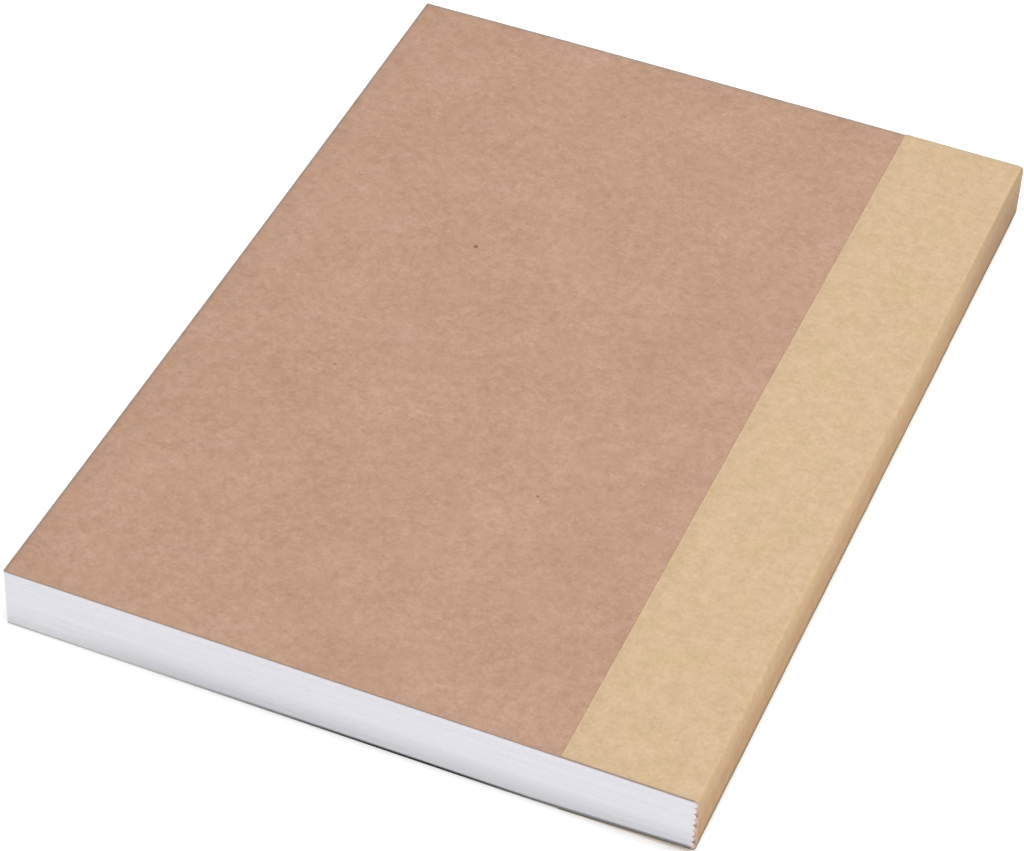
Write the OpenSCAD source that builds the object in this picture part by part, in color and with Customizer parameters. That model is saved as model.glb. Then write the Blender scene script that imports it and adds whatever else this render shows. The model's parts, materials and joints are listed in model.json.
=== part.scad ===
// Softcover notebook: folded and sewn sections between two kraft cards, with a paper
// strip wrapped round the spine. It lies on its back cover, spine towards +X, head at +Y.

/* [Pages] */
// Width of a page, from the fore edge to the back of its fold
page_w = 147.4; // [100:0.2:220]
// Height of a page
page_h = 210; // [140:1:300]
// Number of folded sections
sections = 8; // [4:1:14]
// Number of leaves in one section
section_leaves = 16; // [8:4:24]
// Thickness of one leaf
leaf_t = 0.11; // [0.08:0.005:0.15]

/* [Covers] */
// Thickness of the kraft card
card_t = 0.5; // [0.3:0.05:1]
// Height by which the back cover has risen at the spine
back_rise = 1.5; // [0.4:0.1:3]
// Width over which the back cover rises
rise_run = 34; // [28:1:50]
// Length of the soft bend where the rise begins
rise_bend = 20; // [8:1:30]

/* [Spine strip] */
// Thickness of the strip's paper
strip_t = 0.2; // [0.1:0.02:0.4]
// Width of the strip on each cover, from the spine face to its edge
strip_lap = 28.3; // [18:0.1:45]
// Radius of the strip's fold at the front cover
front_fold_r = 1.2; // [0.8:0.1:2]
// Radius of the strip's fold at the back cover
back_fold_r = 1; // [0.8:0.1:2]

/* [Binding] */
// Thickness of the glue film over the folds
glue_t = 0.4; // [0.4:0.02:0.8]
// Diameter of the sewing thread
thread_d = 0.2; // [0.12:0.01:0.24]
// Diameter of a link, where the thread loops round itself
link_d = 0.32; // [0.26:0.01:0.36]
// Number of rows of link stitches
stitch_rows = 6; // [2:1:10]
// Distance of the outer rows from the ends of the pages
stitch_margin = 14; // [8:1:30]

/* [Hidden] */

// Room between a link and the fold that it lies on
thread_gap = 0.02;
// Free room on each side of the links in the glue
slot_gap = 0.2;
// Neighbouring folds touch as far out as this from the line through their centres
fold_touch = 0.25;
// Straight pieces in an arc of the strip and the covers, and in one fold
arc_steps = 14;
fold_steps = 8;
// Length by which a cutting shape reaches past what it cuts
past = 5;
round_fn = 96;

book_w = page_w + glue_t + strip_t;
fore_x = -book_w / 2;
spine_x = book_w / 2;
seam_x = spine_x - strip_lap;
block_t = sections * section_leaves * leaf_t;
card_top_z = card_t + block_t + card_t;

// The rise is a level line and a sloping one, joined by an arc that touches both
slope = atan(back_rise / rise_run);
rise_x = spine_x - rise_run;
bend_x = rise_x - rise_bend / 2;
bend_r = rise_bend / 2 / tan(slope / 2);
slope_dir = [cos(slope), sin(slope)];
slope_normal = [-sin(slope), cos(slope)];

// Centres of the two spine folds, and the lines where each cover turns
front_fold_c = [spine_x - front_fold_r, card_top_z + strip_t - front_fold_r];
front_hinge = front_fold_c + [0, front_fold_r];
slope_len = (spine_x - back_fold_r - rise_x + (back_fold_r - strip_t) * sin(slope)) / cos(slope);
back_fold_c = [rise_x, 0] + slope_len * slope_dir + (back_fold_r - strip_t) * slope_normal;
back_hinge = back_fold_c - back_fold_r * slope_normal;

// The sections share the height that is left between the covers at the folds
tip_x = fore_x + page_w;
block_top_z = card_top_z - card_t;
fold_pitch = (block_top_z - (tip_x - rise_x) * tan(slope) - card_t / cos(slope))
    / (sections - 0.5 + (1 / cos(slope) - tan(slope)) / 2);
fold_r = fold_pitch / 2;
fold_x = tip_x - fold_r;
fold_top_z = block_top_z - fold_r;
function fold_z(k) = fold_top_z - k * fold_pitch;

function reversed(list) = [for (k = [len(list) - 1 : -1 : 0]) list[k]];

// Points along an arc, from one angle to another
function arc(centre, r, from, to, steps = arc_steps) = [
    for (k = [0 : steps])
        let (a = from + (to - from) * k / steps)
        centre + r * [cos(a), sin(a)]
];

// Underside of the book as far as its last bend, moved up by inset from the face of the back card
function rise(inset) = concat(
    [[fore_x, inset]],
    arc([bend_x, bend_r], bend_r - inset, -90, slope - 90)
);
function underside(inset) = concat(
    rise(inset),
    [back_fold_c - (back_fold_r - strip_t - inset) * slope_normal]
);

// Round the spine from the back hinge to the front one, inset from the outer face of the strip
function spine_wrap(inset) = concat(
    arc(back_fold_c, back_fold_r - inset, slope - 90, 0),
    arc(front_fold_c, front_fold_r - inset, 0, 90)
);

// A profile drawn with X across and Y up, run along the whole height of the book
module along_book() {
    rotate([90, 0, 0])
        linear_extrude(height = page_h, center = true)
            children();
}

// Half-round back of one folded section, between the places where it touches its neighbours
function fold_back(k) =
    let (touch = acos(fold_touch / fold_r))
    arc(
        [fold_x, fold_z(k)], fold_r,
        k == sections - 1 ? slope - 90 : -touch,
        k == 0 ? 90 : touch,
        fold_steps
    );

// Backs of all folds, from the back cover up to the front one
function fold_backs() = [for (k = [sections - 1 : -1 : 0]) each fold_back(k)];

module page_block() {
    color([0.91, 0.91, 0.92])
        along_book()
            polygon(concat(rise(card_t), fold_backs(), [[fore_x, block_top_z]]));
}

function stitch_y(row) =
    let (reach = page_h / 2 - stitch_margin)
    -reach + 2 * reach * row / (stitch_rows - 1);

// Thread drawn tight across the backs of the folds, with a link on each fold
module stitch_row() {
    cylinder(d = thread_d, h = (sections - 1) * fold_pitch, $fn = round_fn);
    for (k = [0 : sections - 1])
        translate([0, 0, k * fold_pitch]) sphere(d = link_d, $fn = 48);
}

module sewing_thread() {
    color([0.95, 0.94, 0.9])
        for (row = [0 : stitch_rows - 1])
            translate([tip_x + thread_gap + link_d / 2, stitch_y(row), fold_z(sections - 1)])
                stitch_row();
}

module spine_glue() {
    slot_w = link_d + 2 * slot_gap;
    color([0.66, 0.5, 0.4])
        difference() {
            along_book()
                polygon(concat(
                    reversed(spine_wrap(strip_t)),
                    [back_hinge + (strip_t + card_t) * slope_normal],
                    fold_backs(),
                    [[front_hinge.x, block_top_z]]
                ));
            for (row = [0 : stitch_rows - 1])
                translate([fold_x, stitch_y(row) - slot_w / 2, fold_z(sections - 1) - slot_gap])
                    cube([past, slot_w, (sections - 1) * fold_pitch + 2 * slot_gap]);
        }
}

module front_cover() {
    color([0.77, 0.62, 0.53])
        translate([fore_x, -page_h / 2, block_top_z])
            cube([front_hinge.x - fore_x, page_h, card_t]);
}

module back_cover() {
    color([0.77, 0.62, 0.53])
        along_book()
            polygon(concat(underside(0), reversed(underside(card_t))));
}

module front_strip_leaf() {
    color([0.85, 0.74, 0.6])
        translate([seam_x, -page_h / 2, card_top_z])
            cube([front_hinge.x - seam_x, page_h, strip_t]);
}

module back_strip_leaf() {
    color([0.85, 0.74, 0.6])
        along_book()
            intersection() {
                polygon(concat(underside(-strip_t), reversed(underside(0))));
                translate([seam_x, -past]) square([strip_lap, 2 * past]);
            }
}

module spine_strip() {
    color([0.85, 0.74, 0.6])
        along_book()
            polygon(concat(spine_wrap(0), reversed(spine_wrap(strip_t))));
}

page_block();
sewing_thread();
spine_glue();
front_cover();
front_strip_leaf();
spine_strip();
back_strip_leaf();
back_cover();
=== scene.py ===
"""Looks of a softcover notebook: kraft cards, folded page sections and a paper spine strip."""
import json
import math
import random

import bmesh
import bpy
from bpy.props import FloatProperty, FloatVectorProperty, IntProperty, PointerProperty
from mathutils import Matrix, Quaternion, Vector


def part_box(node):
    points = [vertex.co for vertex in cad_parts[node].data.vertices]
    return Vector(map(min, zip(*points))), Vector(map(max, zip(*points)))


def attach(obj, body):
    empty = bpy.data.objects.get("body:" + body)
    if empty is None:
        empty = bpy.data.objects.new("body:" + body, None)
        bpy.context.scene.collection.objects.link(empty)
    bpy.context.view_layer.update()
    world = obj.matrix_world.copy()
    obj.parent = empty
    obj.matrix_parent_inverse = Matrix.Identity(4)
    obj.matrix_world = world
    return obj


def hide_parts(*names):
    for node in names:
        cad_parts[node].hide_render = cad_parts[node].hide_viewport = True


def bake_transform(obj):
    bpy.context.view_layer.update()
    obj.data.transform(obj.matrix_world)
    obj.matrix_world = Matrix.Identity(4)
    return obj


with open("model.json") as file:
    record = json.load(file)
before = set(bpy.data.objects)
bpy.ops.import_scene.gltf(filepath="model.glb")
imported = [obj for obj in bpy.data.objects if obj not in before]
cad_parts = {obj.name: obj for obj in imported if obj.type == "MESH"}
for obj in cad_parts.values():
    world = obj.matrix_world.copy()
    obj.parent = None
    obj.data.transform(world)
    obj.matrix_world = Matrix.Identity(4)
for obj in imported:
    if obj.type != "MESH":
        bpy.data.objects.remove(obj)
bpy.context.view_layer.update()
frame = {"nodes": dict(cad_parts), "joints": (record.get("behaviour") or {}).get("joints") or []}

bl_info = {
    "name": "Kraft Notebook",
    "version": (1, 0, 0),
    "blender": (4, 5, 0),
    "location": "View3D > Sidebar > Notebook",
    "description": "Dresses a softcover notebook in kraft card, paper, glue and thread",
    "category": "Add Mesh",
}

MM = 0.001
# Faces that meet at less than this are shaded as one
SMOOTH_ANGLE = math.radians(35)
# Edges of a sheet that turn by more than this are cut edges
RIM_ANGLE = math.radians(60)
# Points nearer than this are one point, and vertices nearer than this to a cut lie on it
SAME_POINT = 0.001 * MM
ON_CUT = 0.01 * MM
JOINTS = {joint["name"]: joint for joint in frame["joints"]}

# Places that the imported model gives
PAGES_LOW, PAGES_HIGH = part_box("page_block")
FRONT_LOW, FRONT_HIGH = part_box("front_cover")
LEAF_LOW, LEAF_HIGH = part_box("front_strip_leaf")
SPINE_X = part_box("spine_strip")[1].x
FRONT_HINGE = Vector(JOINTS["front_cover_hinge"]["pos_m"])
BACK_HINGE = Vector(JOINTS["back_cover_hinge"]["pos_m"])
FORE_X = PAGES_LOW.x
TIP_X = PAGES_HIGH.x
SEAM_X = LEAF_LOW.x
HALF_HEIGHT = PAGES_HIGH.y
PAGES_TOP = PAGES_HIGH.z
CARD_THICK = FRONT_HIGH.z - FRONT_LOW.z
STRIP_THICK = LEAF_HIGH.z - LEAF_LOW.z


def srgb(red, green, blue):
    """A colour as it is seen, from 0 to 255, in the linear values that a shader takes."""
    def linear(value):
        share = value / 255
        return share / 12.92 if share <= 0.04045 else ((share + 0.055) / 1.055) ** 2.4
    return linear(red), linear(green), linear(blue), 1.0


def colour(name, description, red, green, blue):
    """A colour that the panel shows."""
    return FloatVectorProperty(
        name=name, description=description, subtype="COLOR", size=4, min=0, max=1,
        default=srgb(red, green, blue))


def length(name, description, default):
    """A length that the panel shows."""
    return FloatProperty(
        name=name, description=description, unit="LENGTH", precision=5, default=default)


class NotebookSizes(bpy.types.PropertyGroup):
    """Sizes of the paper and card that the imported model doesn't give."""
    sections: IntProperty(
        name="Sections", description="Folded sections in the page block", default=8, min=1)
    sheets: IntProperty(
        name="Sheets", description="Sheets folded into one section", default=8, min=2)
    sheet_gap: length(
        "Sheet gap", "Air between neighbouring leaves", 0.004 * MM)
    trim_scatter: length(
        "Trim scatter", "How far a leaf may stand back from the trimmed edge", 0.035 * MM)
    back_rise: length(
        "Back rise", "Height by which the back cover has risen at the spine", 1.5 * MM)
    rise_run: length(
        "Rise run", "Width over which the back cover rises", 34 * MM)
    rise_bend: length(
        "Rise bend", "Length of the soft bend where the rise begins", 20 * MM)
    fore_bow: length(
        "Fore edge bow", "How far the middle of the fore edge is trimmed in", 0.3 * MM)
    head_bow: length(
        "Head bow", "How far the head is trimmed in at its fore corner", 0.6 * MM)
    card_round: length(
        "Card rounding", "Rounding of the card's cut edges", 0.06 * MM)
    strip_round: length(
        "Strip rounding", "Rounding of the strip's cut edges", 0.05 * MM)
    spine_dents: length(
        "Spine dents", "Depth of the dents where the strip was folded by hand", 0.14 * MM)


class NotebookColours(bpy.types.PropertyGroup):
    """Colours of the finishes."""
    kraft: colour("Kraft card", "Brown card of the covers", 169, 134, 112)
    kraft_edge: colour("Card edge", "Cut edge of the front card", 166, 146, 132)
    # The back card's cut edge is paler and greyer than the front card's: painted light for the
    # floor's light at the fore corner
    back_edge: colour("Back card edge", "Cut edge of the back card", 196, 193, 189)
    # Painted contact shadow: a dark colour that takes over the back card's cut edge towards the
    # middle, and the whole of the strip's lower cut edge
    shadowed_edge: colour("Shadowed edge", "The same edge where it has picked up dirt", 38, 37, 36)
    strip: colour("Strip paper", "Golden paper of the spine strip", 188, 161, 127)
    strip_edge: colour("Strip edge", "Cut edge of the strip", 190, 175, 152)
    page: colour("Page paper", "White paper of the pages", 228, 227, 232)
    glue: colour("Spine glue", "Glue between the folds and the strip", 196, 160, 144)
    thread: colour("Sewing thread", "Thread of the link stitches", 238, 234, 222)
    floor: colour("Floor", "Plain floor under the notebook", 252, 252, 252)


class NotebookStudio(bpy.types.PropertyGroup):
    """Camera, lights and floor."""
    camera_place: FloatVectorProperty(
        name="Camera place", description="Where the camera stands", subtype="TRANSLATION",
        default=(199.98 * MM, -543.91 * MM, 530.13 * MM))
    camera_aim: FloatVectorProperty(
        name="Camera aim", description="Point on the floor that the camera looks at",
        subtype="TRANSLATION", default=(-4.34 * MM, -8.38 * MM, 0.0))
    camera_roll: FloatProperty(
        name="Camera roll", description="Turn of the camera about its view",
        subtype="ANGLE", default=math.radians(2.689))
    camera_lens: FloatProperty(
        name="Lens", description="Focal length on a 36 mm wide sensor, in millimetres",
        default=127.97)
    sky_power: FloatProperty(
        name="Sky", description="Strength of the even light from all round", default=0.58)
    top_place: FloatVectorProperty(
        name="Top light place", description="Where the soft light overhead hangs",
        subtype="TRANSLATION", default=(0.3, 0.05, 1.1))
    top_width: length("Top light width", "Width of the soft light overhead", 1.3)
    top_power: FloatProperty(
        name="Top light", description="Power of the soft light overhead, in watts", default=14.2)
    fill_place: FloatVectorProperty(
        name="Front light place", description="Where the soft light beside the camera stands",
        subtype="TRANSLATION", default=(-0.35, -1.1, 0.5))
    fill_width: length("Front light width", "Width of the soft light beside the camera", 0.9)
    fill_power: FloatProperty(
        name="Front light", description="Power of the soft light beside the camera, in watts",
        default=0.5)
    floor_width: length("Floor width", "Width of the floor", 6.0)
    floor_glow: FloatProperty(
        name="Floor glow", description="Strength of the light from the floor itself", default=0.1)


class Number:
    """A value inside a finish; arithmetic on it adds Math nodes."""

    def __init__(self, finish, socket):
        self.finish = finish
        self.socket = socket

    def math(self, operation, *others):
        """The result of a Math node on this value and others."""
        values = {i: value for i, value in enumerate((self, *others))}
        return self.finish.node("ShaderNodeMath", {"operation": operation}, values)

    def __add__(self, other):
        return self.math("ADD", other)

    def __sub__(self, other):
        return self.math("SUBTRACT", other)

    def __rsub__(self, other):
        return self.finish.node("ShaderNodeMath", {"operation": "SUBTRACT"}, {0: other, 1: self})

    def __mul__(self, other):
        return self.math("MULTIPLY", other)

    __radd__ = __add__
    __rmul__ = __mul__

    def band(self, low, high):
        """0 below low, 1 above high and smooth between them."""
        return self.finish.node(
            "ShaderNodeMapRange", {"interpolation_type": "SMOOTHSTEP"},
            {"Value": self, "From Min": low, "From Max": high})

    def near(self, centre, reach):
        """1 at centre, falling to 0 at the distance reach."""
        return 1 - (self - centre).math("ABSOLUTE").band(0.0, reach)


class Finish:
    """A material under construction, with its Principled shader."""

    def __init__(self, name, roughness):
        self.material = bpy.data.materials.new(name)
        self.material.use_nodes = True
        self.tree = self.material.node_tree
        self.tree.nodes.clear()
        surface = self.node("ShaderNodeBsdfPrincipled", {}, {"Roughness": roughness})
        self.shader = surface.socket.node
        self.node("ShaderNodeOutputMaterial", {}, {"Surface": surface})
        self.place = self.node("ShaderNodeTexCoord", {}, {}, "Object")
        self.x = self.node("ShaderNodeSeparateXYZ", {}, {"Vector": self.place}, "X")
        self.y = Number(self, self.x.socket.node.outputs["Y"])
        self.z = Number(self, self.x.socket.node.outputs["Z"])

    def plug(self, socket, value):
        """Links a value to a socket, or sets the socket to it."""
        if isinstance(value, Number):
            self.tree.links.new(value.socket, socket)
        else:
            socket.default_value = value

    def node(self, kind, settings, values, out=None):
        """Adds a node: its settings first, then what its sockets hold."""
        made = self.tree.nodes.new(kind)
        for name, value in settings.items():
            setattr(made, name, value)
        for key, value in values.items():
            if isinstance(key, int):
                socket = made.inputs[key]
            else:
                socket = next(s for s in made.inputs if s.name == key and s.enabled)
            self.plug(socket, value)
        shown = [s for s in made.outputs if s.enabled and (out is None or s.name == out)]
        return Number(self, shown[0]) if shown else None

    def in_units(self, x, y, z, place=None):
        """Places for a pattern, counted in units of x by y by z."""
        return self.node(
            "ShaderNodeMapping", {},
            {"Vector": place or self.place, "Scale": (1 / x, 1 / y, 1 / z)})

    def stretched(self, turn, along, across):
        """Places for a pattern, in units of along by across, turned about Z."""
        turned = self.node(
            "ShaderNodeMapping", {}, {"Vector": self.place, "Rotation": (0, 0, turn)})
        return self.in_units(along, across, across, turned)

    def noise(self, size, detail=2.0, roughness=0.5, place=None, shift=0.0):
        """Soft noise whose blotches are about as wide as size."""
        place = place or self.place
        if shift:
            place = self.node("ShaderNodeMapping", {}, {"Vector": place, "Location": (shift,) * 3})
        return self.node(
            "ShaderNodeTexNoise", {},
            {"Vector": place, "Scale": 1 / size, "Detail": detail, "Roughness": roughness},
            "Fac")

    def mix(self, share, first, second):
        """The first colour where share is 0, the second where it is 1."""
        return self.node(
            "ShaderNodeMix", {"data_type": "RGBA"},
            {"Factor": share, "A": first, "B": second}, "Result")

    def dyed(self, share, paper, red, green, blue):
        """Paper with each part of its colour scaled where share is 1, its mottle kept."""
        return self.node(
            "ShaderNodeMix", {"data_type": "RGBA", "blend_type": "MULTIPLY"},
            {"Factor": share, "A": paper, "B": (red, green, blue, 1.0)}, "Result")

    def bump(self, height, depth):
        """Feeds a height from 0 to 1 to the shader's normal, as deep as depth."""
        normal = self.node(
            "ShaderNodeBump", {}, {"Height": height, "Strength": 1.0, "Distance": depth})
        self.plug(self.shader.inputs["Normal"], normal)

    def base(self, value):
        """Feeds the shader's base colour."""
        self.plug(self.shader.inputs["Base Color"], value)

    def rough(self, value):
        """Feeds the shader's roughness."""
        self.plug(self.shader.inputs["Roughness"], value)


def tinted(base, red, green, blue):
    """A colour with each of its parts scaled."""
    return base[0] * red, base[1] * green, base[2] * blue, 1.0


def shade(base, factor):
    """A colour made lighter or darker."""
    return tinted(base, factor, factor, factor)


# Flecks that stand out on the front cover: across, up, their width and how much they show
BARK_FLECKS = (
    (-28.1 * MM, 26.5 * MM, 1.5 * MM, 0.9),
    (-40.0 * MM, -21.7 * MM, 1.2 * MM, 0.45),
    (14.5 * MM, -41.1 * MM, 1.0 * MM, 0.75),
)
PALE_FLECKS = (
    (5.1 * MM, 94.2 * MM, 1.3 * MM, 0.8),
    (14.9 * MM, -42.4 * MM, 0.8 * MM, 0.6),
)
FIBRE_TURNS = (0.4, 1.5, 2.6)


def flecks(finish, paper, places, tint):
    """Ragged flecks on the front cover, each at its own place."""
    on_front = finish.z.band(PAGES_TOP, PAGES_TOP + 0.1 * MM)
    ragged = finish.noise(0.3 * MM, 1.0).band(0.25, 0.75)
    for across, up, width, share in places:
        right, above = finish.x - across, finish.y - up
        away = right * right + above * above + ragged * (0.1 * width ** 2)
        spot = 1 - away.band(0.05 * width ** 2, 0.25 * width ** 2)
        paper = finish.mix(spot * on_front * share, paper, tint)
    return paper


def fore_side(finish):
    """0 from the middle of a cover to the spine, rising to 1 at the fore edge."""
    return (finish.x * (1 / FORE_X)).math("MAXIMUM", 0.0)


def fore_shade_line(finish, sizes):
    """Thin line of painted shade along the fore edge, which follows the trimmed curve."""
    along = finish.y * (1 / HALF_HEIGHT)
    from_edge = finish.x - FORE_X - fore_side(finish) * (1 - along * along) * sizes.fore_bow
    return 1 - from_edge.band(0.45 * MM, 0.85 * MM)


def head_rim(finish, sizes):
    """Thin line along the head, which follows the trimmed curve."""
    side = fore_side(finish)
    along = finish.y * (1 / HALF_HEIGHT)
    from_edge = HALF_HEIGHT - finish.y - side * side * along * sizes.head_bow
    return 1 - from_edge.band(0.5 * MM, 1.4 * MM)


def contact_shadow(finish):
    """How much painted contact shadow darkens the lower edge: none at the fore corner, most in the
    middle.
    """
    from_corner = finish.x.band(FORE_X + 22 * MM, FORE_X + 88 * MM)
    near_spine = finish.x.band(SPINE_X - 54 * MM, SPINE_X - 24 * MM)
    return from_corner - near_spine * 0.36


def fibres(finish, along, across):
    """Fine fibres that lie in three directions, from 0 to 1."""
    layers = [
        finish.noise(1.0, 1.0, 0.5, finish.stretched(turn, along, across), shift=7.0 * turn)
        for turn in FIBRE_TURNS
    ]
    total = layers[0]
    for layer in layers[1:]:
        total = total + layer
    return total * (1 / len(layers))


def blend_of(*parts):
    """Patterns about 0.5, each with its own weight, as one pattern about 0.5."""
    total = 0.5
    for pattern, weight in parts:
        total = (pattern - 0.5) * weight + total
    return total


def kraft_finish(name, base, sizes):
    """Brown kraft card: cloudy, full of fibres, with flecks, a dark line of painted shade along the
    fore edge and a cooler thin line along the head.
    """
    finish = Finish(name, 0.82)
    clouds = finish.noise(18 * MM, 2.0, 0.5)
    mottle = finish.noise(2.4 * MM, 4.0, 0.62, shift=3.0)
    grain = finish.noise(0.9 * MM, 1.0, 0.5, shift=13.0)
    fibre = fibres(finish, 1.4 * MM, 0.22 * MM)
    tone = blend_of((clouds, 0.48), (mottle, 1.15), (grain, 0.65), (fibre, 1.1))
    dark_pulp = tinted(base, 0.80, 0.74, 0.68)
    pale_pulp = tinted(base, 1.19, 1.255, 1.33)
    paper = finish.mix(tone, dark_pulp, pale_pulp)
    warm = finish.noise(7 * MM, 2.0, 0.5, shift=11.0).band(0.45, 0.75)
    paper = finish.mix(warm * 0.4, paper, tinted(base, 1.03, 0.985, 0.95))
    shives = finish.noise(1.0, 0.0, 0.5, finish.stretched(2.1, 2.2 * MM, 0.3 * MM), 19.0)
    paper = finish.mix(shives.band(0.79, 0.86) * 0.55, paper, tinted(base, 1.25, 1.275, 1.3125))
    bark = finish.noise(1.1 * MM, 0.0, 0.5, shift=23.0)
    paper = finish.mix(bark.band(0.86, 0.9) * 0.4, paper, tinted(base, 0.45, 0.4, 0.36))
    paper = flecks(finish, paper, BARK_FLECKS, tinted(base, 0.3, 0.27, 0.22))
    paper = flecks(finish, paper, PALE_FLECKS, tinted(base, 1.35, 1.42, 1.5))
    # Painted shade: a dark line along the fore edge
    paper = finish.dyed(fore_shade_line(finish, sizes), paper, 0.76, 0.87, 0.97)
    paper = finish.dyed(head_rim(finish, sizes), paper, 0.81, 0.96, 1.08)
    finish.base(paper)
    finish.rough(0.78 + mottle * 0.1)
    finish.bump(fibre * 0.6 + mottle * 0.4, 0.03 * MM)
    return finish.material


def cut_edge_finish(name, base, shadowed=None):
    """Cut edge of card or paper: pressed plies along the edge; where a shadowed colour is given,
    painted contact shadow darkens it away from the fore corner.
    """
    finish = Finish(name, 0.9)
    ply = finish.noise(1.0, 2.0, 0.6, finish.in_units(6 * MM, 6 * MM, 0.09 * MM))
    torn = finish.noise(0.5 * MM, 2.0, 0.6)
    tone = ply * 0.6 + torn * 0.4
    edge = finish.mix(tone, shade(base, 0.78), shade(base, 1.15))
    if shadowed:
        dark = finish.mix(tone, shade(shadowed, 0.78), shade(shadowed, 1.15))
        # Painted contact shadow, none at the fore corner
        edge = finish.mix(contact_shadow(finish), edge, dark)
    finish.base(edge)
    finish.shader.inputs["Specular IOR Level"].default_value = 0.1
    finish.bump(tone, 0.02 * MM)
    return finish.material


def strip_finish(name, base, sizes):
    """Golden paper: smoother than the card, with yellow and pink clouds, a pale fold that is partly
    wear and partly painted highlight, and painted shade on the spine.
    """
    finish = Finish(name, 0.74)
    clouds = finish.noise(9 * MM, 2.0, 0.5, shift=5.0)
    mottle = finish.noise(2.4 * MM, 4.0, 0.62, shift=9.0)
    grain = finish.noise(0.9 * MM, 1.0, 0.5, shift=17.0)
    fibre = fibres(finish, 1.2 * MM, 0.18 * MM)
    tone = blend_of((mottle, 1.2), (grain, 0.75), (fibre, 0.8))
    dark_pulp = tinted(base, 0.845, 0.84, 0.755)
    pale_pulp = tinted(base, 1.148, 1.148, 1.235)
    paper = finish.mix(tone, dark_pulp, pale_pulp)
    paper = finish.dyed(1 - clouds.band(0.3, 0.5), paper, 0.985, 1.0, 0.93)
    paper = finish.dyed(clouds.band(0.55, 0.75) * 0.6, paper, 1.015, 0.985, 1.03)
    # Pale line along the cut edge and along the fold at the front cover, partly where paper is
    # rubbed and partly a painted highlight
    wear_and_highlight = finish.noise(4 * MM, 3.0, 0.6, shift=2.0).band(0.25, 0.6)
    fold = finish.z.near(FRONT_HINGE.z - 0.2 * MM, 0.5 * MM) * finish.x.band(FRONT_HINGE.x, SPINE_X)
    rim = finish.x.near(SEAM_X + 0.1 * MM, 0.45 * MM)
    paper = finish.dyed((fold * 0.4 + rim * 0.8) * wear_and_highlight, paper, 1.12, 1.13, 1.14)
    # The spine is painted warmer and darker as shade, more so from 9 mm below the front fold and
    # unevenly; it is darker at the far end, and a painted shadow darkens it along the lower fold; a
    # leaf of an opened cover lies beyond it, and keeps the plain tone
    beyond = finish.x.band(SPINE_X + 0.1 * MM, SPINE_X + 0.3 * MM)
    on_spine = finish.x.band(SPINE_X - 0.8 * MM, SPINE_X - 0.3 * MM) * (1 - beyond)
    painted_shade = 1 - finish.z.band(FRONT_HINGE.z - 9 * MM, FRONT_HINGE.z)
    uneven_shade = finish.noise(3.5 * MM, 3.0, 0.6, shift=31.0).band(0.3, 0.7) * 0.3 + 0.7
    far = finish.y.band(45 * MM, 95 * MM)
    lower_fold_shadow = 1 - finish.z.band(BACK_HINGE.z + 0.8 * MM, BACK_HINGE.z + 3.4 * MM)
    # Painted shade on the spine face; below the front fold it is broken up unevenly
    paper = finish.dyed(on_spine, paper, 0.95, 0.905, 0.785)
    paper = finish.dyed(on_spine * painted_shade * uneven_shade, paper, 0.84, 0.695, 0.56)
    paper = finish.dyed(on_spine * far, paper, 0.76, 0.75, 0.74)
    # Painted shadow along the lower fold, just above the back cover
    paper = finish.dyed(on_spine * lower_fold_shadow, paper, 0.38, 0.47, 0.58)
    paper = finish.dyed(head_rim(finish, sizes), paper, 0.91, 1.0, 1.08)
    finish.base(paper)
    finish.rough(0.7 + mottle * 0.1)
    finish.bump(fibre * 0.5 + mottle * 0.5, 0.02 * MM)
    return finish.material


def page_finish(name, base, leaf, under):
    """White paper, with the edges of the leaves as fine streaks."""
    finish = Finish(name, 0.85)
    streak = finish.noise(1.0, 1.0, 0.5, finish.in_units(30 * MM, 30 * MM, leaf))
    bundle = finish.noise(1.0, 2.0, 0.5, finish.in_units(45 * MM, 45 * MM, 9 * leaf))
    tooth = finish.noise(0.4 * MM, 2.0, 0.6)
    tone = streak.band(0.25, 0.75) * 0.4 + bundle.band(0.3, 0.7) * 0.35 + tooth * 0.25
    paper = finish.mix(tone, tinted(base, 0.9259, 0.9259, 0.94), shade(base, 1.02))
    # Painted shade darkens the pages towards the back card, less so at the fore corner; pink where
    # glue has soaked in
    low = 1 - finish.z.band(CARD_THICK, CARD_THICK + 7 * MM)
    painted_shade = finish.x.band(FORE_X + 4 * MM, FORE_X + 39 * MM) * 0.7 + 0.3
    paper = finish.mix(low * painted_shade * 0.43, paper, tinted(base, 0.57, 0.57, 0.58))
    soaked = finish.x.band(TIP_X - 1.4 * MM, TIP_X - 0.3 * MM)
    paper = finish.mix(soaked * 0.6, paper, tinted(base, 1.0, 0.9, 0.88))
    # Painted contact shadow along the cut ends of the lowest leaves, just above the back card
    card_top = (finish.x - under.rise_x).math("MAXIMUM", 0.0) * math.tan(under.slope) + CARD_THICK
    cut_end = finish.y.math("ABSOLUTE").band(HALF_HEIGHT - 0.5 * MM, HALF_HEIGHT - 0.2 * MM)
    by_card = 1 - (finish.z - card_top).band(0.15 * MM, 0.4 * MM)
    paper = finish.dyed(by_card * cut_end * contact_shadow(finish), paper, 0.25, 0.25, 0.25)
    # The face of a leaf is a softer white than the cut ends
    face = finish.x.band(FORE_X + 0.4 * MM, FORE_X + 0.7 * MM) * (1 - cut_end)
    paper = finish.dyed(face, paper, 0.8, 0.79, 0.765)
    finish.base(paper)
    finish.bump(streak * 0.6 + tooth * 0.4, 0.015 * MM)
    return finish.material


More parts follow.
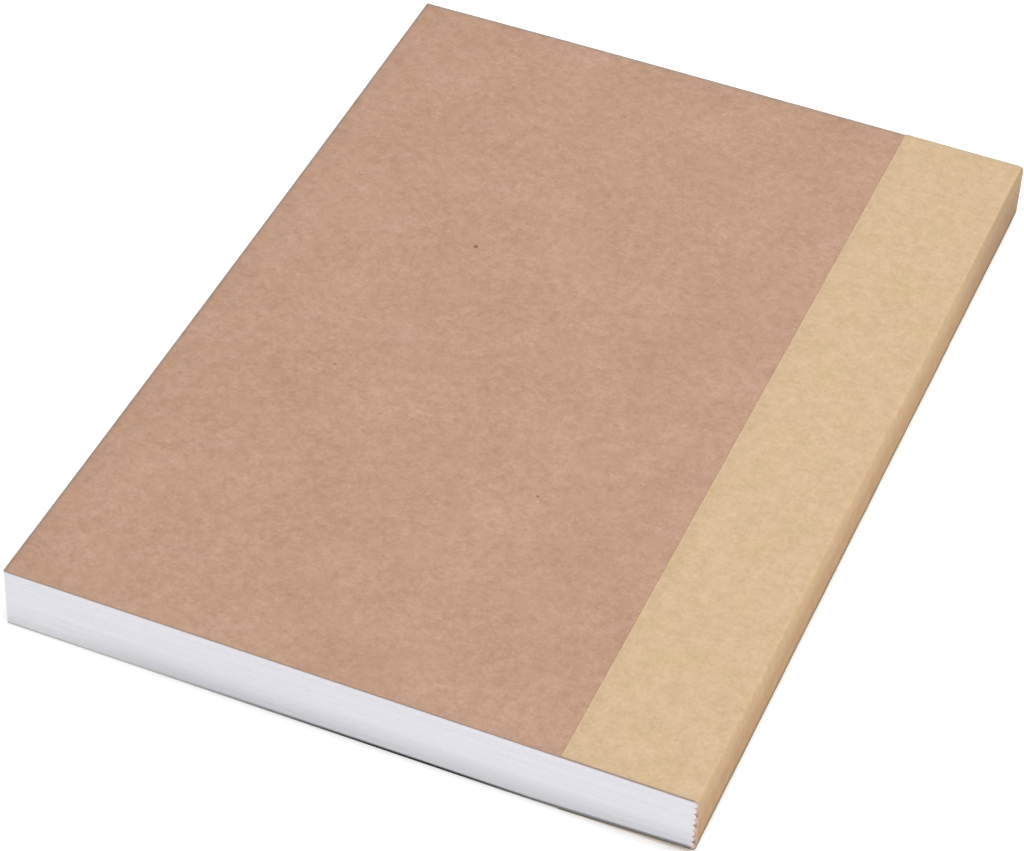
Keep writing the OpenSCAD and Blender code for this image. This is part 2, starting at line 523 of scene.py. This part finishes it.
def glue_finish(name, base):
    """Dried glue: brown and glossy, with small bubbles."""
    finish = Finish(name, 0.35)
    cloud = finish.noise(1.5 * MM, 3.0, 0.6)
    bubbles = finish.node(
        "ShaderNodeTexVoronoi", {}, {"Vector": finish.place, "Scale": 1 / (0.5 * MM)}, "Distance")
    patches = cloud.band(0.35, 0.6)
    finish.base(finish.mix(patches, tinted(base, 0.45, 0.38, 0.36), tinted(base, 1.15, 1.2, 1.25)))
    finish.rough(0.3 + cloud * 0.25)
    finish.bump(bubbles, 0.04 * MM)
    return finish.material


def thread_finish(name, base):
    """Twisted sewing thread: its strands wind round it on a slant."""
    finish = Finish(name, 0.7)
    slant = finish.y + finish.z * 0.8
    strands = (slant * (2 * math.pi / (0.28 * MM))).math("SINE") * 0.5 + 0.5
    fluff = finish.noise(0.15 * MM, 2.0, 0.6)
    finish.base(finish.mix(strands * 0.6 + fluff * 0.4, shade(base, 0.7), shade(base, 1.05)))
    finish.bump(strands * 0.8 + fluff * 0.2, 0.03 * MM)
    return finish.material


def floor_finish(name, base, glow):
    """Plain pale floor, faintly uneven, lit a little from below as on a light table."""
    finish = Finish(name, 0.9)
    cloud = finish.noise(300 * MM, 2.0, 0.5)
    finish.base(finish.mix(cloud, shade(base, 0.99), base))
    finish.shader.inputs["Emission Color"].default_value = (1, 1, 1, 1)
    finish.shader.inputs["Emission Strength"].default_value = glow
    return finish.material


def arc(centre, radius, start, end, steps):
    """Points (x, z) along an arc, with angles in radians."""
    return [
        Vector((centre.x + radius * math.cos(a), centre.y + radius * math.sin(a)))
        for a in (start + (end - start) * k / steps for k in range(steps + 1))
    ]


def line(start, end, steps):
    """Points (x, z) along a straight line."""
    return [start.lerp(end, k / steps) for k in range(steps + 1)]


def joined(*runs):
    """Runs of points as one, without the doubles where they meet."""
    points = []
    for point in (p for run in runs for p in run):
        if not points or (point - points[-1]).length > SAME_POINT:
            points.append(point)
    return points


class Underside:
    """The level and rising underside of the book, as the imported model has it."""

    def __init__(self, sizes):
        self.slope = math.atan(sizes.back_rise / sizes.rise_run)
        self.rise_x = SPINE_X - sizes.rise_run
        self.bend_x = self.rise_x - sizes.rise_bend / 2
        self.bend_radius = sizes.rise_bend / 2 / math.tan(self.slope / 2)
        self.fold_radius = (SPINE_X - BACK_HINGE.x) / (1 - math.sin(self.slope))
        self.normal = Vector((-math.sin(self.slope), math.cos(self.slope)))
        self.fold_centre = BACK_HINGE.xz + self.fold_radius * self.normal

    def bend(self, inset, steps):
        """The soft bend, moved up by inset from the outer face of the back card."""
        centre = Vector((self.bend_x, self.bend_radius))
        down = -math.pi / 2
        return arc(centre, self.bend_radius - inset, down, down + self.slope, steps)

    def hinge(self, inset):
        """Where the back cover turns, moved up by inset."""
        return BACK_HINGE.xz + (STRIP_THICK + inset) * self.normal

    def fold(self, inset, steps):
        """The fold of the strip at the back cover, up to where the spine is upright."""
        radius = self.fold_radius - STRIP_THICK - inset
        return arc(self.fold_centre, radius, self.slope - math.pi / 2, 0, steps)

    def height(self, x):
        """Height of the outer face of the back card at x."""
        if x <= self.bend_x:
            return 0.0
        bend_end = self.bend_x + self.bend_radius * math.sin(self.slope)
        if x <= bend_end:
            across = x - self.bend_x
            return self.bend_radius - math.sqrt(self.bend_radius ** 2 - across ** 2)
        return (x - self.rise_x) * math.tan(self.slope)


def pick(piece, kind, test):
    """In edit mode, selects the vertices, edges or faces that pass a test, and nothing else."""
    bpy.ops.mesh.select_mode(type=kind)
    bpy.ops.mesh.select_all(action="DESELECT")
    work = bmesh.from_edit_mesh(piece.data)
    for part in {"VERT": work.verts, "EDGE": work.edges, "FACE": work.faces}[kind]:
        if test(part):
            part.select_set(True)
    work.select_flush_mode()
    bmesh.update_edit_mesh(piece.data)


def sheet_along(name, points, rows):
    """A sheet that follows (x, z) points and runs from tail to head, left in edit mode."""
    bpy.ops.object.select_all(action="DESELECT")
    bpy.ops.mesh.primitive_plane_add(size=1, enter_editmode=True, location=(0, 0, 0))
    piece = bpy.context.active_object
    piece.name = name
    bpy.ops.transform.resize(value=(1, 2 * HALF_HEIGHT, 1))
    start, second = points[0], points[1]
    # The plane's two sides stand at x = -0.5 and 0.5 until they are moved
    pick(piece, "VERT", lambda v: v.co.x < 0)
    bpy.ops.transform.translate(value=(start.x + 0.5, 0, start.y))
    pick(piece, "VERT", lambda v: v.co.x > 0.49)
    bpy.ops.transform.translate(value=(second.x - 0.5, 0, second.y))
    for here, there in zip(points[1:], points[2:]):
        step = there - here
        bpy.ops.mesh.extrude_region_move(TRANSFORM_OT_translate={"value": (step.x, 0, step.y)})
    pick(piece, "EDGE", lambda e: abs(e.verts[0].co.y - e.verts[1].co.y) > HALF_HEIGHT)
    bpy.ops.mesh.subdivide(number_cuts=rows - 1)
    return piece


def shift_by_share(piece, axis, distance, share):
    """Moves each vertex along an axis by its share, from 0 to 1, of a distance."""
    group = piece.vertex_groups.new(name="share")
    for vertex in piece.data.vertices:
        group.add([vertex.index], share(vertex.co), "REPLACE")
    shift = piece.modifiers.new("shift", "DISPLACE")
    shift.direction = axis
    shift.mid_level = 0
    shift.strength = distance
    shift.vertex_group = group.name
    bpy.ops.object.modifier_apply(modifier=shift.name)
    piece.vertex_groups.clear()


def trim(piece, sizes):
    """The curves that the guillotine left at the fore edge and at the head."""
    def outward(place):
        return max(0.0, place.x / FORE_X)
    shift_by_share(
        piece, "X", sizes.fore_bow,
        lambda place: outward(place) * (1 - (place.y / HALF_HEIGHT) ** 2))
    shift_by_share(
        piece, "Y", -sizes.head_bow,
        lambda place: outward(place) ** 2 * max(0.0, place.y / HALF_HEIGHT))


def thicken(piece, thickness, side, rim_slot=0):
    """Thickens a sheet: side is 1 along its normals, -1 against them and 0 for half each."""
    wall = piece.modifiers.new("thickness", "SOLIDIFY")
    wall.thickness = thickness
    wall.offset = side
    wall.use_even_offset = True
    wall.material_offset_rim = rim_slot
    bpy.ops.object.modifier_apply(modifier=wall.name)


def round_cut_edges(piece, width, test):
    """Rounds the picked edges of a finished sheet."""
    bpy.ops.object.mode_set(mode="EDIT")
    pick(piece, "EDGE", test)
    bpy.ops.mesh.bevel(offset=width, segments=2, affect="EDGES", offset_type="OFFSET")
    bpy.ops.object.mode_set(mode="OBJECT")


def is_rim(edge, hidden_z=None):
    """True for the sharp edges of a sheet; those of a cut at hidden_z stay sharp."""
    if len(edge.link_faces) != 2 or edge.calc_face_angle(0.0) < RIM_ANGLE:
        return False
    if hidden_z is None:
        return True
    return not all(abs(v.co.z - hidden_z) < ON_CUT and v.co.x > FRONT_HINGE.x for v in edge.verts)


def finish_piece(piece, *materials):
    """Smooths a piece by angle and gives it its materials."""
    for material in materials:
        piece.data.materials.append(material)
    bpy.ops.object.shade_smooth_by_angle(angle=SMOOTH_ANGLE)


def only(piece):
    """Selects one piece, and nothing else."""
    bpy.ops.object.select_all(action="DESELECT")
    piece.select_set(True)
    bpy.context.view_layer.objects.active = piece


class NOTEBOOK_OT_add_pages(bpy.types.Operator):
    """Add the page block: nested folded sheets, gathered into sections"""
    bl_idname = "notebook.add_pages"
    bl_label = "Add Pages"

    # Steps of a sheet: across its level part, its bend and its fold, and from tail to head
    level_steps = 6
    bend_steps = 5
    fold_steps = 8
    rows = 10
    # Vertices this near to a column belong to it
    column_reach = 0.5 * MM
    # Start of the draws that trim the leaves unevenly
    seed = 11

    def execute(self, context):
        sizes = context.scene.notebook_sizes
        under = Underside(sizes)
        level_height = PAGES_TOP - CARD_THICK
        pitch = level_height / sizes.sections
        leaf = pitch / (2 * sizes.sheets)
        lift_at_folds = under.height(TIP_X - pitch / 2) + CARD_THICK / math.cos(under.slope)
        squeeze = (PAGES_TOP - lift_at_folds) / level_height
        fold_x = TIP_X - squeeze * pitch / 2

        patterns = [
            self.folded_sheet(sizes, under, fold_x, squeeze, (j + 0.5) * leaf, leaf)
            for j in range(sizes.sheets)
        ]
        chance = random.Random(self.seed)
        copies = []
        for section in range(sizes.sections):
            middle = PAGES_TOP - (section + 0.5) * pitch
            for pattern in patterns:
                copies.append(self.gathered(pattern, middle, chance, sizes))
        bpy.ops.object.select_all(action="DESELECT")
        for pattern in patterns:
            pattern.select_set(True)
        bpy.ops.object.delete()
        for sheet in copies:
            sheet.select_set(True)
        block = copies[0]
        context.view_layer.objects.active = block
        bpy.ops.object.join()
        bpy.ops.object.transform_apply(location=True, rotation=True, scale=True)
        block.name = "page_sections"
        self.press(block, under, fold_x, level_height)
        trim(block, sizes)
        page = context.scene.notebook_colours.page
        finish_piece(block, page_finish("page_paper", tuple(page), leaf, under))
        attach(block, "block")
        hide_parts("page_block")
        return {"FINISHED"}

    def folded_sheet(self, sizes, under, fold_x, squeeze, radius, leaf):
        """One sheet round its fold, level and centred on Z = 0."""
        bend = [p.x for p in under.bend(0, self.bend_steps)]
        level_run = bend[0] - FORE_X
        stops = [FORE_X + level_run * k / self.level_steps for k in range(self.level_steps)] + bend
        stops += [(bend[-1] + fold_x) / 2, fold_x]
        upper = [Vector((x, radius)) for x in stops]
        turns = arc(Vector((0, 0)), radius, math.pi / 2, -math.pi / 2, self.fold_steps)
        fold = [Vector((fold_x + squeeze * p.x, p.y)) for p in turns]
        lower = [Vector((x, -radius)) for x in reversed(stops)]
        sheet = sheet_along("folded_sheet", joined(upper, fold, lower), self.rows)
        bpy.ops.object.mode_set(mode="OBJECT")
        thicken(sheet, leaf - sizes.sheet_gap, 0)
        return sheet

    def gathered(self, pattern, middle, chance, sizes):
        """A copy of a sheet in its section, trimmed a little unevenly."""
        only(pattern)
        bpy.ops.object.duplicate()
        sheet = bpy.context.active_object
        bpy.ops.transform.translate(value=(0, 0, middle))
        inward = chance.random() * sizes.trim_scatter / (TIP_X - FORE_X)
        shorter = chance.random() * sizes.trim_scatter / HALF_HEIGHT
        sheet.select_set(True)
        bpy.ops.transform.resize(
            value=(1 - inward, 1 - shorter, 1), center_override=(TIP_X, 0, middle))
        return sheet

    def press(self, block, under, fold_x, level_height):
        """Squeezes the block column by column where the back cover rises."""
        columns = [p.x for p in under.bend(0, self.bend_steps)][1:]
        columns += [(columns[-1] + fold_x) / 2]
        only(block)
        bpy.ops.object.mode_set(mode="EDIT")
        for column in columns:
            pick(block, "VERT", lambda v: abs(v.co.x - column) < self.column_reach)
            self.squeeze_to(under, column, level_height)
        pick(block, "VERT", lambda v: v.co.x > fold_x - self.column_reach)
        self.squeeze_to(under, fold_x, level_height)
        bpy.ops.object.mode_set(mode="OBJECT")

    def squeeze_to(self, under, x, level_height):
        """Flattens the picked column towards the top page, on to the back card at x."""
        floor_z = under.height(x) + CARD_THICK / math.cos(under.slope)
        share = (PAGES_TOP - floor_z) / level_height
        bpy.ops.transform.resize(value=(1, 1, share), center_override=(0, 0, PAGES_TOP))


class NOTEBOOK_OT_add_covers(bpy.types.Operator):
    """Add the two kraft cards, cut flush with the pages"""
    bl_idname = "notebook.add_covers"
    bl_label = "Add Covers"

    # Steps of a card from tail to head
    rows = 24

    def execute(self, context):
        sizes = context.scene.notebook_sizes
        colours = context.scene.notebook_colours
        under = Underside(sizes)
        card = kraft_finish("kraft_card", tuple(colours.kraft), sizes)
        front_edge = cut_edge_finish("front_cut_edge", tuple(colours.kraft_edge))
        # The back card's cut edge darkens towards the middle with painted contact shadow
        back_edge = cut_edge_finish(
            "back_cut_edge", tuple(colours.back_edge), tuple(colours.shadowed_edge))
        top = FRONT_HIGH.z
        front = line(Vector((FORE_X, top)), Vector((FRONT_HINGE.x, top)), 16)
        level = line(Vector((FORE_X, 0)), Vector((under.bend_x, 0)), 11)
        bend = under.bend(0, 8)
        back = joined(level, bend, line(bend[-1], under.hinge(0), 4))
        self.card("front_card", front, -1, "front", "front_cover", (card, front_edge), sizes)
        self.card("back_card", back, 1, "back", "back_cover", (card, back_edge), sizes)
        return {"FINISHED"}

    def card(self, name, points, side, body, node, finishes, sizes):
        """One cover, with its thickness towards the pages."""
        piece = sheet_along(name, points, self.rows)
        bpy.ops.object.mode_set(mode="OBJECT")
        trim(piece, sizes)
        finish_piece(piece, *finishes)
        thicken(piece, CARD_THICK, side, rim_slot=1)
        round_cut_edges(piece, sizes.card_round, is_rim)
        bpy.ops.object.shade_smooth_by_angle(angle=SMOOTH_ANGLE)
        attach(piece, body)
        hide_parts(node)


class NOTEBOOK_OT_add_strip(bpy.types.Operator):
    """Add the paper strip that wraps the spine and laps on to both covers"""
    bl_idname = "notebook.add_strip"
    bl_label = "Add Spine Strip"

    # How far from each hinge line the paper takes to bend
    bend_reach = 0.6 * MM
    # Steps of the strip from tail to head, short enough to take the dents
    rows = 84
    # Width of a dent, and the stretch inside the spine face over which the dents fade in
    dent_width = 7 * MM
    dent_fade = (0.9 * MM, 0.1 * MM)

    def execute(self, context):
        sizes = context.scene.notebook_sizes
        colours = context.scene.notebook_colours
        under = Underside(sizes)
        paper = strip_finish("strip_paper", tuple(colours.strip), sizes)
        edge = cut_edge_finish("strip_cut_edge", tuple(colours.strip_edge))
        # The strip's lower cut edge takes the shadowed colour throughout: painted contact shadow
        low_edge = cut_edge_finish("shadowed_strip_edge", tuple(colours.shadowed_edge))
        # The two parts meet where the back fold ends and the spine stands upright
        cut_z = under.fold_centre.y
        hinge = under.hinge(-STRIP_THICK)
        front = self.front_profile(cut_z)
        back = self.back_profile(under, hinge)
        self.half("strip_front", front, -1, "front", FRONT_HINGE.xz, (paper, edge), cut_z, sizes)
        self.half("strip_back", back, 1, "back", hinge, (paper, low_edge), cut_z, sizes)
        return {"FINISHED"}

    def front_profile(self, cut_z):
        """Outer face from the seam on the front cover, round its fold and down the spine."""
        fold_radius = SPINE_X - FRONT_HINGE.x
        fold_centre = FRONT_HINGE.xz - Vector((0, fold_radius))
        seam = Vector((SEAM_X, LEAF_HIGH.z))
        near = FRONT_HINGE.xz - Vector((self.bend_reach, 0))
        return joined(
            line(seam, near, 8),
            line(near, FRONT_HINGE.xz, 4),
            arc(fold_centre, fold_radius, math.pi / 2, 0, 16),
            line(Vector((SPINE_X, fold_centre.y)), Vector((SPINE_X, cut_z)), 12))

    def back_profile(self, under, hinge):
        """Outer face from the seam on the back cover to the end of its fold."""
        along = Vector((math.cos(under.slope), math.sin(under.slope)))
        near = hinge - self.bend_reach * along
        bend = [p for p in under.bend(-STRIP_THICK, 16) if p.x > SEAM_X + 0.2 * MM]
        seam = Vector((SEAM_X, under.height(SEAM_X) - STRIP_THICK))
        return joined(
            [seam],
            bend,
            line(bend[-1], near, 5),
            line(near, hinge, 4),
            under.fold(-STRIP_THICK, 12))

    def half(self, name, points, side, body, hinge, finishes, cut_z, sizes):
        """The part of the strip on one cover's side, built in place; it is not attached to the
        cover.
        """
        piece = sheet_along(name, points, self.rows)
        bpy.ops.object.mode_set(mode="OBJECT")
        finish_piece(piece, *finishes)
        self.dent_spine(piece, sizes.spine_dents)
        thicken(piece, STRIP_THICK, side, rim_slot=1)
        round_cut_edges(piece, sizes.strip_round, lambda e: is_rim(e, cut_z))
        bpy.ops.object.shade_smooth_by_angle(angle=SMOOTH_ANGLE)
        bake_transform(piece)
        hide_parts(body + "_strip_leaf", "spine_strip")

    def dent_spine(self, piece, depth):
        """Presses shallow dents into the upright face of the spine."""
        group = piece.vertex_groups.new(name="upright")
        start, full = (SPINE_X - depth_in for depth_in in self.dent_fade)
        for vertex in piece.data.vertices:
            over = (vertex.co.x - start) / (full - start)
            group.add([vertex.index], max(0.0, min(1.0, over)), "REPLACE")
        clouds = bpy.data.textures.new("hand_folds", "CLOUDS")
        clouds.noise_scale = self.dent_width
        clouds.noise_depth = 1
        dents = piece.modifiers.new("dents", "DISPLACE")
        dents.texture = clouds
        dents.texture_coords = "GLOBAL"
        dents.direction = "X"
        dents.mid_level = 1.0
        dents.strength = depth
        dents.vertex_group = group.name
        bpy.ops.object.modifier_apply(modifier=dents.name)
        piece.vertex_groups.clear()
        bpy.data.textures.remove(clouds)


class NOTEBOOK_OT_finish_binding(bpy.types.Operator):
    """Give the glue and the sewing thread their finishes"""
    bl_idname = "notebook.finish_binding"
    bl_label = "Finish Binding"

    def execute(self, context):
        colours = context.scene.notebook_colours
        finishes = {
            "spine_glue": glue_finish("binding_glue", tuple(colours.glue)),
            "sewing_thread": thread_finish("linen_thread", tuple(colours.thread)),
        }
        for name, material in finishes.items():
            node = frame["nodes"][name]
            node.data.materials.clear()
            node.data.materials.append(material)
        return {"FINISHED"}


class NOTEBOOK_OT_add_stage(bpy.types.Operator):
    """Add the floor, the lights and the camera"""
    bl_idname = "notebook.add_stage"
    bl_label = "Add Stage"

    def execute(self, context):
        scene = context.scene
        studio = scene.notebook_studio
        bpy.ops.object.select_all(action="DESELECT")
        bpy.ops.mesh.primitive_plane_add(size=studio.floor_width, location=(0, 0, 0))
        floor = context.active_object
        floor.name = "floor"
        pale = floor_finish("floor", tuple(scene.notebook_colours.floor), studio.floor_glow)
        floor.data.materials.append(pale)
        self.sky(scene, studio.sky_power)
        self.soft_light("top_light", studio.top_place, studio.top_width, studio.top_power)
        self.soft_light("front_light", studio.fill_place, studio.fill_width, studio.fill_power)
        self.camera(scene, studio)
        scene.view_settings.view_transform = "Standard"
        return {"FINISHED"}

    def sky(self, scene, power):
        """An even white light from all round."""
        world = bpy.data.worlds.new("studio")
        world.use_nodes = True
        background = world.node_tree.nodes["Background"]
        background.inputs["Color"].default_value = (1, 1, 1, 1)
        background.inputs["Strength"].default_value = power
        scene.world = world

    def soft_light(self, name, place, width, power):
        """A square soft light that faces the notebook."""
        bpy.ops.object.light_add(type="AREA", location=place)
        light = bpy.context.active_object
        light.name = name
        light.data.size = width
        light.data.energy = power
        light.rotation_mode = "QUATERNION"
        light.rotation_quaternion = (-Vector(place)).to_track_quat("-Z", "Y")

    def camera(self, scene, studio):
        """The camera, where the photograph was taken from."""
        place = Vector(studio.camera_place)
        view = Vector(studio.camera_aim) - place
        bpy.ops.object.camera_add(location=place)
        camera = bpy.context.active_object
        camera.rotation_mode = "QUATERNION"
        roll = Quaternion((0, 0, 1), studio.camera_roll)
        camera.rotation_quaternion = view.to_track_quat("-Z", "Y") @ roll
        camera.data.lens = studio.camera_lens
        camera.data.sensor_width = 36
        camera.data.clip_start = 0.01
        scene.camera = camera


class NOTEBOOK_PT_panel(bpy.types.Panel):
    """Lists the steps and sizes of the notebook in the sidebar"""
    bl_idname = "NOTEBOOK_PT_panel"
    bl_label = "Kraft Notebook"
    bl_space_type = "VIEW_3D"
    bl_region_type = "UI"
    bl_category = "Notebook"

    def draw(self, context):
        for step in STEPS:
            self.layout.operator(step.bl_idname)
        for group in ("notebook_sizes", "notebook_colours", "notebook_studio"):
            box = self.layout.box()
            values = getattr(context.scene, group)
            for name in values.__annotations__:
                box.prop(values, name)


GROUPS = {
    "notebook_sizes": NotebookSizes,
    "notebook_colours": NotebookColours,
    "notebook_studio": NotebookStudio,
}
STEPS = (
    NOTEBOOK_OT_add_stage,
    NOTEBOOK_OT_add_pages,
    NOTEBOOK_OT_add_covers,
    NOTEBOOK_OT_add_strip,
    NOTEBOOK_OT_finish_binding,
)


def register():
    for made in (*GROUPS.values(), *STEPS, NOTEBOOK_PT_panel):
        bpy.utils.register_class(made)
    for name, group in GROUPS.items():
        setattr(bpy.types.Scene, name, PointerProperty(type=group))


def unregister():
    for name in GROUPS:
        delattr(bpy.types.Scene, name)
    for made in reversed((*GROUPS.values(), *STEPS, NOTEBOOK_PT_panel)):
        bpy.utils.unregister_class(made)


def main():
    register()
    bpy.ops.notebook.add_stage()
    bpy.ops.notebook.add_pages()
    bpy.ops.notebook.add_covers()
    bpy.ops.notebook.add_strip()
    bpy.ops.notebook.finish_binding()


if __name__ == "__main__":
    main()
